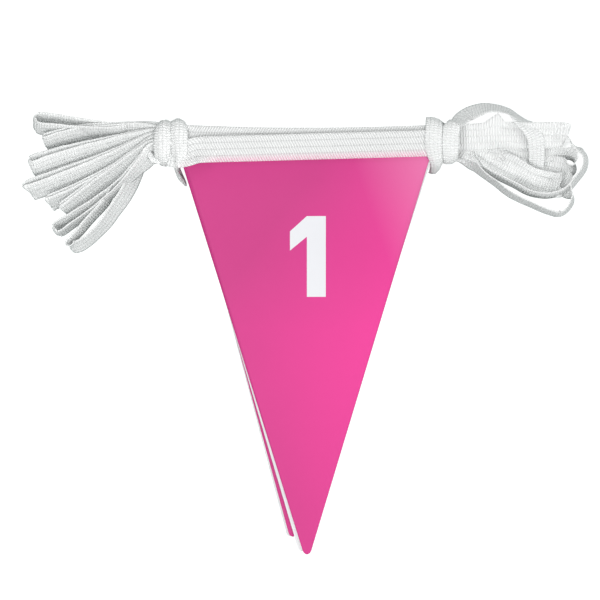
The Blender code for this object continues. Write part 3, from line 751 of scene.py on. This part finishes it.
def math_node(tree, operation, first, second=None, third=None):
    node = tree.nodes.new("ShaderNodeMath")
    node.operation = operation
    for socket, value in zip(node.inputs, (first, second, third)):
        feed(tree, socket, value)
    return node.outputs[0]


def clamped(tree, value):
    node = tree.nodes.new("ShaderNodeClamp")
    tree.links.new(value, node.inputs["Value"])
    return node.outputs[0]


def mix_colours(tree, share, first, second):
    """A mix of two colours. A Mix node has sockets for every kind, and only the colours' own are shown."""
    node = tree.nodes.new("ShaderNodeMix")
    node.data_type = "RGBA"
    first_socket, second_socket = (socket for socket in node.inputs if socket.type == "RGBA")
    (result,) = (socket for socket in node.outputs if socket.type == "RGBA")
    feed(tree, node.inputs["Factor"], share)
    feed(tree, first_socket, first)
    feed(tree, second_socket, second)
    return result


def x_and_y(tree, vector):
    node = tree.nodes.new("ShaderNodeSeparateXYZ")
    tree.links.new(vector, node.inputs[0])
    return node.outputs["X"], node.outputs["Y"]


def new_group(name, vector, numbers, results):
    """A shader node group that takes a vector and named numbers, and gives named numbers."""
    group = bpy.data.node_groups.new(name, "ShaderNodeTree")
    group.interface.new_socket(name=vector, in_out="INPUT", socket_type="NodeSocketVector")
    for number in numbers:
        group.interface.new_socket(name=number, in_out="INPUT", socket_type="NodeSocketFloat")
    for result in results:
        group.interface.new_socket(name=result, in_out="OUTPUT", socket_type="NodeSocketFloat")
    entry = group.nodes.new("NodeGroupInput")
    leave = group.nodes.new("NodeGroupOutput")
    return group, entry.outputs, leave.inputs


def place_group(tree, group, **values):
    node = tree.nodes.new("ShaderNodeGroup")
    node.node_tree = group
    for name, value in values.items():
        feed(tree, node.inputs[name], value)
    return node.outputs


def twill_group():
    """The tape's weave: ribs across it, slanted within each of its bands, and a groove between two bands.

    Along the tape the phase is the distance over the rib pitch, less the slant times the share of the band's
    width. Rib is one and a cosine of it, halved. Groove is near 1 close to an edge between two bands.
    """
    inputs, results = ("Pitch", "Bands", "Width", "Slant"), ("Rib", "Groove", "Height")
    group, entry, leave = new_group("Twill ribs", "Cloth", inputs, results)
    calc = partial(math_node, group)
    across, along = x_and_y(group, entry["Cloth"])
    band = calc("MULTIPLY", calc("DIVIDE", across, entry["Width"]), entry["Bands"])
    within = calc("FRACT", band)
    phase = calc("DIVIDE", along, entry["Pitch"])
    phase = calc("SUBTRACT", phase, calc("MULTIPLY", within, entry["Slant"]))
    rib = calc("MULTIPLY_ADD", calc("COSINE", calc("MULTIPLY", phase, 2 * math.pi)), 0.5, 0.5)
    from_middle = calc("ABSOLUTE", calc("SUBTRACT", within, 0.5))
    groove = calc("POWER", calc("MULTIPLY", from_middle, 2.0), GROOVE_POWER)
    past_first = calc("GREATER_THAN", band, 0.5)
    before_last = calc("LESS_THAN", band, calc("SUBTRACT", entry["Bands"], 0.5))
    groove = calc("MULTIPLY", groove, calc("MULTIPLY", past_first, before_last))
    group.links.new(rib, leave["Rib"])
    group.links.new(groove, leave["Groove"])
    group.links.new(calc("SUBTRACT", rib, calc("MULTIPLY", groove, GROOVE_DEPTH)), leave["Height"])
    return group


def blotch_group():
    """Slow uneven change over a cloth: noise in Object coordinates, as a value about a half."""
    group, entry, leave = new_group("Uneven cloth", "Place", ("Scale",), ("Value",))
    noise = group.nodes.new("ShaderNodeTexNoise")
    noise.inputs["Detail"].default_value = BLOTCH_DETAIL
    group.links.new(entry["Place"], noise.inputs["Vector"])
    group.links.new(entry["Scale"], noise.inputs["Scale"])
    group.links.new(noise.outputs["Fac"], leave["Value"])
    return group


def blotches(tree, place, scale):
    return place_group(tree, bpy.data.node_groups["Uneven cloth"], Place=place, Scale=scale)["Value"]


def uneven(tree, value, place, scale, contrast):
    """A value with blotches added: the noise less a half, times the contrast."""
    lowered = math_node(tree, "SUBTRACT", value, contrast / 2)
    return math_node(tree, "MULTIPLY_ADD", blotches(tree, place, scale), contrast, lowered)


def attribute(tree, name):
    node = tree.nodes.new("ShaderNodeAttribute")
    node.attribute_name = name
    return node.outputs["Fac"]


def object_place(tree):
    return tree.nodes.new("ShaderNodeTexCoord").outputs["Object"]


def bump(tree, shader, height, distance, strength=1.0):
    node = tree.nodes.new("ShaderNodeBump")
    node.inputs["Strength"].default_value = strength
    node.inputs["Distance"].default_value = distance
    tree.links.new(height, node.inputs["Height"])
    tree.links.new(node.outputs["Normal"], shader.inputs["Normal"])


def tape_material(sizes, colours):
    """Woven white tape: ribs and bands in height and shade, and the pennant's pink in the sewn edge."""
    material, tree, shader = new_material("woven_tape", TAPE_ROUGHNESS, TAPE_GLOSS)
    calc = partial(math_node, tree)
    shader.inputs["Subsurface Weight"].default_value = LIGHT_SINKS_IN
    shader.inputs["Subsurface Radius"].default_value = (1.0, 1.0, 1.0)
    shader.inputs["Subsurface Scale"].default_value = LIGHT_DEPTH

    # painted light: a faint glow in the tape's own colour, which lifts the shade in its folds
    shader.inputs["Emission Color"].default_value = (*colours.tape, 1.0)
    shader.inputs["Emission Strength"].default_value = PAINTED_GLOW
    over = attribute(tree, "over_pennant")

    def there(everywhere, more):
        return calc("MULTIPLY_ADD", over, more, everywhere)

    cloth = tree.nodes.new("ShaderNodeUVMap")
    cloth.uv_map = "cloth"
    weave = place_group(
        tree,
        twill_group(),
        Cloth=cloth.outputs["UV"],
        Pitch=sizes.rib_pitch,
        Bands=BANDS,
        Width=TAPE_WIDTH,
        Slant=there(*RIB_SLANT),
    )

    # the ribs show most over the pennants, and the grooves between the bands show only there
    gap_between = calc("SUBTRACT", 1.0, weave["Rib"])
    shade = calc("SUBTRACT", 1.0, calc("MULTIPLY", gap_between, there(*RIB_CONTRAST)))
    shade = calc("SUBTRACT", shade, calc("MULTIPLY", weave["Groove"], there(*GROOVE_CONTRAST)))
    shade = uneven(tree, shade, object_place(tree), *TAPE_BLOTCHES)
    dark = tuple(TAPE_DARK * c for c in colours.tape)
    colour = mix_colours(tree, shade, dark, tuple(colours.tape))
    tint = tuple(SEAM_PINK * a + (1 - SEAM_PINK) * b for a, b in zip(colours.cloth, colours.tape))
    through = calc("MULTIPLY_ADD", gap_between, SEAM_BETWEEN_RIBS, SEAM_ON_RIBS)
    through = calc("MULTIPLY", attribute(tree, "seam"), through)
    colour = mix_colours(tree, through, colour, tint)
    tree.links.new(colour, shader.inputs["Base Color"])
    bump(tree, shader, weave["Height"], RIB_HEIGHT)
    return material


def grid_weave(tree, x, y):
    """A faint plain weave: the product of two sines in Object X and Y."""
    turns = 2 * math.pi / WEAVE_PITCH
    first, second = (math_node(tree, "SINE", math_node(tree, "MULTIPLY", c, turns)) for c in (x, y))
    return math_node(tree, "MULTIPLY", first, second)


def between(tree, value, low, high):
    """1 where a value lies between two others, each a number or a socket, with the print's soft edge."""
    calc = partial(math_node, tree)
    rise = calc("DIVIDE", calc("SUBTRACT", value, low), PRINT_EDGE)
    fall = calc("DIVIDE", calc("SUBTRACT", high, value), PRINT_EDGE)
    return clamped(tree, calc("MINIMUM", rise, fall))


def numeral_mask(tree, x, y):
    """The numeral one: a stem between two uprights, and a flag between two slanted lines at its left."""
    calc = partial(math_node, tree)
    left, tip = pixel_x(STEM_LEFT), pixel_x(FLAG_TIP)
    share = calc("DIVIDE", calc("SUBTRACT", x, tip), left - tip)

    def slanted(at_tip, at_stem):
        """The height of a line that runs from the flag's tip to the stem, at each X."""
        return calc("MULTIPLY_ADD", share, pixel_y(at_stem) - pixel_y(at_tip), pixel_y(at_tip))

    top, foot = slanted(FLAG_TOP_AT_TIP, FLAG_TOP_AT_STEM), slanted(FLAG_FOOT_AT_TIP, FLAG_FOOT_AT_STEM)
    in_stem = between(tree, x, left, pixel_x(STEM_RIGHT))
    stem = calc("MULTIPLY", in_stem, between(tree, y, pixel_y(STEM_FOOT), pixel_y(STEM_TOP)))
    flag = calc("MULTIPLY", between(tree, x, tip, left + FLAG_OVERLAP), between(tree, y, foot, top))
    return calc("MAXIMUM", stem, flag)


def cloth_material(name, colours, numeral):
    """Pink coated cloth: a soft gloss, a faint grid of its weave, blotches, and painted shade and a painted
    sheen over its pink.
    """
    material, tree, shader = new_material(name, CLOTH_ROUGHNESS, CLOTH_GLOSS)
    calc = partial(math_node, tree)
    place = object_place(tree)
    x, y = x_and_y(tree, place)
    weave = grid_weave(tree, x, y)

    # painted shade: the pink is lighter below the middle and at the right, deeper at the upper left and a
    # little at the tip, with blotches on it
    full = calc("MULTIPLY_ADD", x, LIT_RIGHT, LIT_AT_MIDDLE)
    full = calc("MULTIPLY_ADD", calc("MAXIMUM", y, 0.0), LIT_ABOVE, full)
    full = calc("MULTIPLY_ADD", calc("MINIMUM", y, 0.0), LIT_BELOW, full)
    full = clamped(tree, uneven(tree, full, place, *CLOTH_BLOTCHES))
    shaded_pink = tuple(share * c for share, c in zip(SHADED_PINK_SHARES, colours.cloth))
    colour = mix_colours(tree, full, shaded_pink, tuple(colours.cloth))
    # painted sheen: a paler pink at the right, beyond a slanted line, mixed in with the threads' colour
    past_line = calc("SUBTRACT", x, calc("MULTIPLY_ADD", y, SHEEN_SLOPE, SHEEN_FROM))
    painted_sheen = calc("MULTIPLY", calc("MAXIMUM", past_line, 0.0), SHEEN_GROWTH)
    threads_and_sheen = calc("ADD", calc("MULTIPLY_ADD", weave, THREAD_CONTRAST, THREAD_SHARE), painted_sheen)
    colour = mix_colours(tree, threads_and_sheen, colour, THREAD_AND_SHEEN_COLOUR)
    if numeral:
        colour = mix_colours(tree, numeral_mask(tree, x, y), colour, tuple(colours.numeral))
    tree.links.new(colour, shader.inputs["Base Color"])
    bump(tree, shader, weave, WEAVE_HEIGHT, WEAVE_STRENGTH)
    return material


def back_material(colours):
    """The cloth's white back, a little uneven."""
    material, tree, shader = new_material("cloth_back", BACK_ROUGHNESS, BACK_GLOSS)
    place = object_place(tree)
    weave = grid_weave(tree, *x_and_y(tree, place))
    scale, contrast = BACK_BLOTCHES
    shade = math_node(tree, "MULTIPLY", blotches(tree, place, scale), contrast)
    shade = math_node(tree, "MULTIPLY_ADD", weave, BACK_WEAVE_CONTRAST, shade)
    dark = tuple(BACK_DARK * c for c in colours.cloth_back)
    colour = mix_colours(tree, shade, tuple(colours.cloth_back), dark)
    tree.links.new(colour, shader.inputs["Base Color"])
    bump(tree, shader, weave, WEAVE_HEIGHT, WEAVE_STRENGTH)
    return material


# Pieces
# ------
class BUNTING_OT_pennants(bpy.types.Operator):
    """Make the eleven pennants as thin sheets on their solids, the front one with its numeral"""

    bl_idname = "bunting.pennants"
    bl_label = "Pennants"

    # points across and down each pennant
    COLUMNS = 41
    ROWS = 90

    def execute(self, context):
        sizes, colours = context.scene.bunting_sizes, context.scene.bunting_colours
        front = cloth_material("numbered_cloth", colours, True)
        pink = cloth_material("plain_cloth", colours, False)
        back = back_material(colours)
        for number in range(1, PENNANTS + 1):
            printed = front if number == 1 else pink
            materials = [printed, back] if number % 2 else [back, printed]
            points, uv = self.surface(number)
            name = f"pennant_cloth_{number:02d}"
            sheet = grid_object(name, points, uv, {}, materials, sizes.cloth_thickness)
            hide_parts(f"pennant_{number:02d}")
            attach(sheet, "root")
        return {"FINISHED"}

    def surface(self, number):
        """One pennant, as points and cloth coordinates.

        Down the pennant its width falls evenly from the sewn edge to the blunt tip, whose end is rounded. It
        is turned about the middle of its sewn edge. Its height goes from its layer in the thick heading to
        its layer in the thin stack by a soft step, with low waves on it, the same for all the layers.
        """
        row = PENNANT_ROWS[number - 1]
        turn = math.radians(row.turn)
        length = PENNANT_LENGTH - row.short * MM
        share = (1 - (1 - np.linspace(0, 1, self.ROWS)) ** ROW_POWER)[::-1, None]
        across = np.linspace(-0.5, 0.5, self.COLUMNS)[None, :]
        from_tip = np.clip((1 - share) * length / (TIP_WIDTH / 2), 0, 1)
        rounded = TIP_END + (1 - TIP_END) * np.sqrt(1 - (1 - from_tip) ** 2)
        width = (PENNANT_WIDTH + (TIP_WIDTH - PENNANT_WIDTH) * share) * rounded
        x = across * width
        y = -share * length + 0 * across
        place_x = row.right * MM + x * math.cos(turn) - y * math.sin(turn)
        place_y = TOP_EDGE_Y + row.up * MM + x * math.sin(turn) + y * math.cos(turn)
        in_heading = level(heading_layers(number)[0])
        in_stack = level(PENNANTS - number)
        settled = smooth((SETTLE_START - place_y) / SETTLE_LENGTH)
        height = in_heading + (in_stack - in_heading) * settled
        wave = self.wave(place_x, place_y) * height / level(2 * PENNANTS)
        points = np.stack([place_x, place_y, height + wave * smooth(share / WAVES_COME_IN)], -1)
        uv = np.stack([x, y], -1)
        return points, uv

    def wave(self, x, y):
        """The stack's low waves, in metres: sines of slanted distances, added."""
        waves = (share * np.sin(by_x * x + by_y * y + phase) for share, by_x, by_y, phase in STACK_WAVES)
        return STACK_WAVE_HEIGHT * sum(waves)


class BUNTING_OT_tape(bpy.types.Operator):
    """Make the woven tape as one thin sheet along its solid's whole route"""

    bl_idname = "bunting.tape"
    bl_label = "Tape"

    # points across the tape, and the longest step and the widest turn, in degrees, from one row to the next
    COLUMNS = 11
    STEP = 0.0022
    ANGLE = 14.0

    def execute(self, context):
        sizes, colours = context.scene.bunting_sizes, context.scene.bunting_colours
        points, uv, masks, length = self.surface(sizes)
        material = tape_material(sizes, colours)
        tape = grid_object("woven_tape", points, uv, masks, [material], sizes.tape_thickness)
        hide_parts("tape")
        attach(tape, "root")
        return {"FINISHED"}

    def surface(self, sizes):
        """The tape, as points, cloth coordinates, masks and its length.

        The route's rows give a place, a width direction and a width. Across the tape the points run along
        the width direction. They rise off it along the tape's normal by a crown, one less the square of twice
        the share across, whose height changes slowly along the tape, and by small pleats where it is
        squeezed. Then its edges lag at sharp turns, one of them is drawn out, and the dents are pushed in.
        """
        sections = tape_sections()
        over, gather, tight = (
            np.concatenate([np.full(len(rows), value(kind), float) for kind, rows in sections])
            for value in (lambda kind: kind == "pennant", GATHER_CROWN.get, GATHER_TIGHT.get)
        )
        rows = np.column_stack([np.vstack([rows for kind, rows in sections]), over, gather, tight])
        rows = refine(rows, self.STEP, self.ANGLE)
        place, (width, over, gather, tight) = rows[:, :3], rows[:, 6:].T
        along = unit_rows(np.gradient(place, axis=0))
        across = rows[:, 3:6] - along * np.sum(rows[:, 3:6] * along, axis=1, keepdims=True)
        across = unit_rows(across)
        normal = np.cross(along, across)
        reach = np.abs(across[:, 2]) * width / 2
        place[:, 2] = np.maximum(place[:, 2], GAP + SHEET / 2 + reach)
        s = distance_along(place)
        u = np.linspace(-0.5, 0.5, self.COLUMNS)[None, :]

        # over_pennant: where the tape runs over a pennant; seam: only its edge that lies on the cloth
        in_heading = smooth((HEADING_END - np.abs(place[:, 0])) / HEADING_FADE) * smooth(over * 2)
        lost = np.clip(TAPE_WIDTH - width, 0, None)
        crown = (CROWN + wobble(s, CROWN_WAVE)) * (1 - in_heading) + gather * lost
        change = wobble(s, LEVEL_WAVE) * (1 - in_heading) - tight * lost
        pleats = np.cos(2 * np.pi * PLEATS * u + wobble(s, PLEAT_WAVE)[:, None])
        lift = crown[:, None] * (1 - (2 * u) ** 2) + change[:, None]
        lift += (PLEAT_DEPTH * gather * lost)[:, None] * pleats
        bend = np.gradient(along, axis=0) / np.maximum(np.gradient(s), TINY)[:, None]
        sharp = np.linalg.norm(bend, axis=1, keepdims=True)
        inwards = bend / np.maximum(sharp, TINY) * smooth(sharp / SHARP_TURN) * EDGE_LAG
        side = u * width[:, None]
        points = place[:, None, :] + side[..., None] * across[:, None, :]
        lag = inwards[:, None, :] * ((2 * u) ** LAG_POWER)[..., None]
        points += lift[..., None] * normal[:, None, :] + lag
        points[..., 1] += drawn_out(place)[:, None] * np.clip(2 * u, 0, 1) ** POINT_POWER
        points[..., 2] -= dents(points)
        points[..., 2] = np.maximum(points[..., 2], sizes.tape_thickness / 2 + CLEARANCE)
        from_edge = (u + 0.5) * TAPE_WIDTH
        uv = np.stack(np.broadcast_arrays(from_edge, s[:, None]), -1)
        seam = smooth(1 - from_edge / sizes.seam_overlap + SEAM_BLUR) * in_heading[:, None]

        # the front tape's lower edge stands off its pennant at the left end
        on_front = place[:, 2] > level(2 * PENNANTS - 2)
        lifted = smooth((-place[:, 0] - LIFT_START) / LIFT_LENGTH) * on_front * in_heading
        points[..., 2] += lifted[:, None] * LIFT_HEIGHT * np.clip(-2 * u, 0, 1) ** LIFT_POWER
        seam = seam * (1 - lifted[:, None])
        masks = {"over_pennant": in_heading[:, None] + 0 * u, "seam": seam}
        return points, uv, masks, float(s[-1])


class BUNTING_OT_stage(bpy.types.Operator):
    """Make the plain floor, the soft studio light and the overhead camera"""

    bl_idname = "bunting.stage"
    bl_label = "Floor, light and camera"

    def execute(self, context):
        colours = context.scene.bunting_colours
        floor_mesh = bpy.data.meshes.new("floor")
        corners = [(x * FLOOR_HALF, y * FLOOR_HALF, 0) for x, y in ((-1, -1), (1, -1), (1, 1), (-1, 1))]
        floor_mesh.from_pydata(corners, [], [(0, 1, 2, 3)])
        material, tree, shader = new_material("floor", FLOOR_ROUGHNESS, FLOOR_GLOSS)
        shader.inputs["Base Color"].default_value = (*colours.floor, 1.0)
        shader.inputs["Emission Color"].default_value = (1.0, 1.0, 1.0, 1.0)
        seen = tree.nodes.new("ShaderNodeLightPath").outputs["Is Camera Ray"]
        tree.links.new(seen, shader.inputs["Emission Strength"])
        floor_mesh.materials.append(material)
        floor = add_object("floor", floor_mesh)

        world = bpy.data.worlds.new("studio")
        world.use_nodes = True
        background = world.node_tree.nodes["Background"]
        background.inputs["Color"].default_value = (1.0, 1.0, 1.0, 1.0)
        background.inputs["Strength"].default_value = ROUND_LIGHT
        context.scene.world = world
        for softbox in SOFTBOXES:
            self.place_light(softbox)

        # plain colours, so that the cloth keeps its full pink
        context.scene.view_settings.view_transform = "Standard"

        camera_data = bpy.data.cameras.new("camera")
        camera_data.sensor_width = SENSOR
        camera_data.lens = SENSOR * CAMERA_HEIGHT / (PHOTO_WIDTH * METRES_PER_PIXEL)
        camera = add_object("camera", camera_data)
        middle = PHOTO_WIDTH / 2
        camera.location = (pixel_x(middle), pixel_y(middle), CAMERA_HEIGHT + BUNTING_HEIGHT)
        context.scene.camera = camera
        return {"FINISHED"}

    def place_light(self, softbox):
        """A square area light that points at a place of the bunting."""
        light = bpy.data.lights.new(softbox.name, "AREA")
        light.size = softbox.size
        light.energy = softbox.power
        lamp = add_object(softbox.name, light)
        lamp.location = softbox.place
        direction = Vector(softbox.target) - lamp.location
        lamp.rotation_euler = direction.to_track_quat("-Z", "Y").to_euler()


class BUNTING_PT_panel(bpy.types.Panel):
    bl_idname = "BUNTING_PT_panel"
    bl_label = "Folded bunting"
    bl_space_type = "VIEW_3D"
    bl_region_type = "UI"
    bl_category = "Bunting"

    def draw(self, context):
        layout = self.layout
        for settings in (context.scene.bunting_sizes, context.scene.bunting_colours):
            for name in settings.__annotations__:
                layout.prop(settings, name)
        for operator in OPERATORS:
            layout.operator(operator.bl_idname)


OPERATORS = (BUNTING_OT_pennants, BUNTING_OT_tape, BUNTING_OT_stage)
CLASSES = (BuntingSizes, BuntingColours, *OPERATORS, BUNTING_PT_panel)


def register():
    for cls in CLASSES:
        bpy.utils.register_class(cls)
    bpy.types.Scene.bunting_sizes = bpy.props.PointerProperty(type=BuntingSizes)
    bpy.types.Scene.bunting_colours = bpy.props.PointerProperty(type=BuntingColours)


def unregister():
    del bpy.types.Scene.bunting_colours
    del bpy.types.Scene.bunting_sizes
    for cls in reversed(CLASSES):
        bpy.utils.unregister_class(cls)


def main():
    register()
    blotch_group()
    bpy.ops.bunting.pennants()
    bpy.ops.bunting.tape()
    bpy.ops.bunting.stage()


if __name__ == "__main__":
    main()
